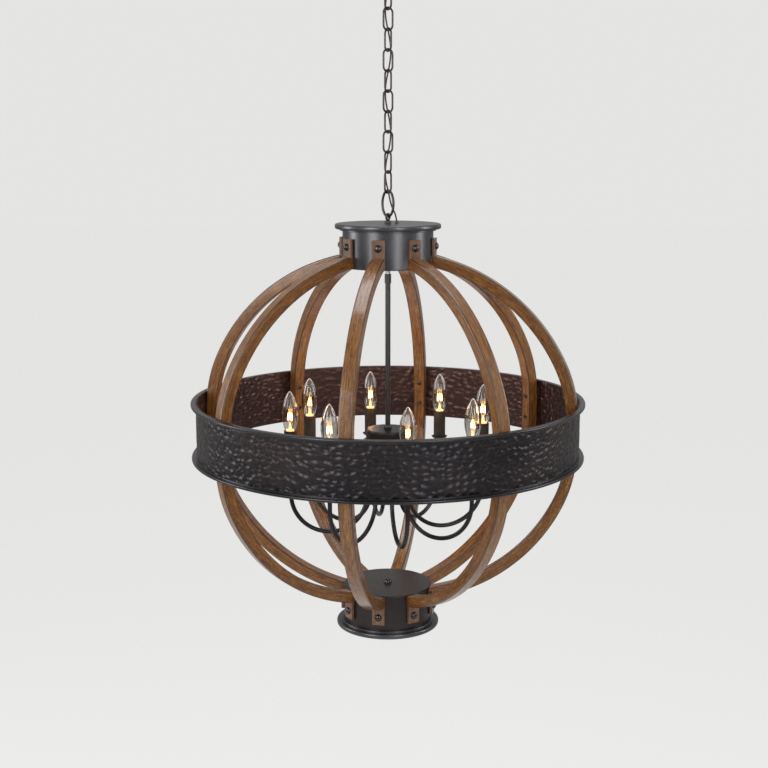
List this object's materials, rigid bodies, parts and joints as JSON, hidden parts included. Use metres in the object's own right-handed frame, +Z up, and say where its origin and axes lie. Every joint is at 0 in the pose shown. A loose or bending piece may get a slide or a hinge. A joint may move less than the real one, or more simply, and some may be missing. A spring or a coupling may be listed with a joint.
{
  "type": "orb chandelier",
  "caption": "Globe of bowed wooden ribs round a hammered metal band, hung on a chain, with curved arms that carry candle-style lamps.",
  "frame": {"origin": "middle of the two ceiling screw slots, on the plane where the canopy's rim and the crossbar meet the ceiling", "axes": "+Z up into the ceiling, +X along the crossbar through both screw slots, the pictured side faces -Y"},
  "size_m": [0.762, 0.762, 1.3189],
  "materials": {
    "hanging_metal": "satin grey-bronze",
    "plated_steel": "plated, lightly worn",
    "bushing": "black, smooth",
    "cord": "brown sheath",
    "wood": "stained, fine streaky grain, waxed",
    "hammered_band": "dark bronze, hammered, satin",
    "black_screws": "black, half gloss",
    "hub_metal": "dark bronze, satin",
    "frame_metal": "near-black bronze, satin",
    "candle_sleeve": "black-brown, satin",
    "socket": "dark, dull",
    "bulb_glass": "clear, smooth",
    "bulb_cap": "thin rolled brass",
    "filament": "glowing when lit"
  },
  "bodies": {
    "ceiling": {"canopy": "hanging_metal", "crossbar": "plated_steel", "crossbar_nut": "plated_steel", "canopy_nipple": "plated_steel", "canopy_loop": "hanging_metal", "canopy_bushing": "bushing"},
    "top_link": {"top_link": "hanging_metal"},
    "chain": {"chain_links": "hanging_metal", "supply_cord": "cord"},
    "ring": {"hang_ring": "hanging_metal"},
    "fixture": {"arm_1": "frame_metal", "arm_2": "frame_metal", "arm_3": "frame_metal", "arm_4": "frame_metal", "arm_5": "frame_metal", "arm_6": "frame_metal", "arm_7": "frame_metal", "arm_8": "frame_metal", "arm_nuts": "plated_steel", "band": "hammered_band", "band_bottom_rim": "hammered_band", "band_screws": "black_screws", "band_top_rim": "hammered_band", "base_bolt": "plated_steel", "bottom_drum": "hub_metal", "bottom_plate": "hub_metal", "bottom_rib_nuts": "plated_steel", "bottom_rib_screws": "black_screws", "bulb_caps": "bulb_cap", "bulb_filaments": "filament", "bulb_glasses": "bulb_glass", "candle_dishes": "frame_metal", "candle_sleeves": "candle_sleeve", "cluster_base": "frame_metal", "cluster_cover": "frame_metal", "cluster_nut": "plated_steel", "dome_nut": "hub_metal", "hub_bushing": "bushing", "hub_loop": "hanging_metal", "hub_nipple": "plated_steel", "hub_nuts": "plated_steel", "lamp_sockets": "socket", "rib_1": "wood", "rib_2": "wood", "rib_3": "wood", "rib_4": "wood", "rib_5": "wood", "rib_6": "wood", "rib_7": "wood", "rib_8": "wood", "stem": "frame_metal", "stem_collar": "frame_metal", "stem_coupler": "frame_metal", "top_drum": "hub_metal", "top_plate": "hub_metal", "top_rib_nuts": "plated_steel", "top_rib_screws": "black_screws"}
  },
  "joints": [
    {"name": "top_link_swing", "type": "hinge", "parent": "ceiling", "child": "top_link", "pos_m": [0, 0, -0.051], "axis": [0.5592, -0.829, 0], "range_deg": [-18, 18]},
    {"name": "chain_swing", "type": "hinge", "parent": "top_link", "child": "chain", "pos_m": [0, 0, -0.08765], "axis": [0.829, 0.5592, 0], "range_deg": [-18, 18], "deforming": ["supply_cord"]},
    {"name": "ring_swing", "type": "hinge", "parent": "chain", "child": "ring", "pos_m": [0, 0, -0.46065], "axis": [0.5878, 0.809, 0], "range_deg": [-15, 15]},
    {"name": "globe_swing", "type": "hinge", "parent": "ring", "child": "fixture", "pos_m": [0, 0, -0.5053], "axis": [0.809, -0.5878, 0], "range_deg": [-15, 15]}
  ]
}
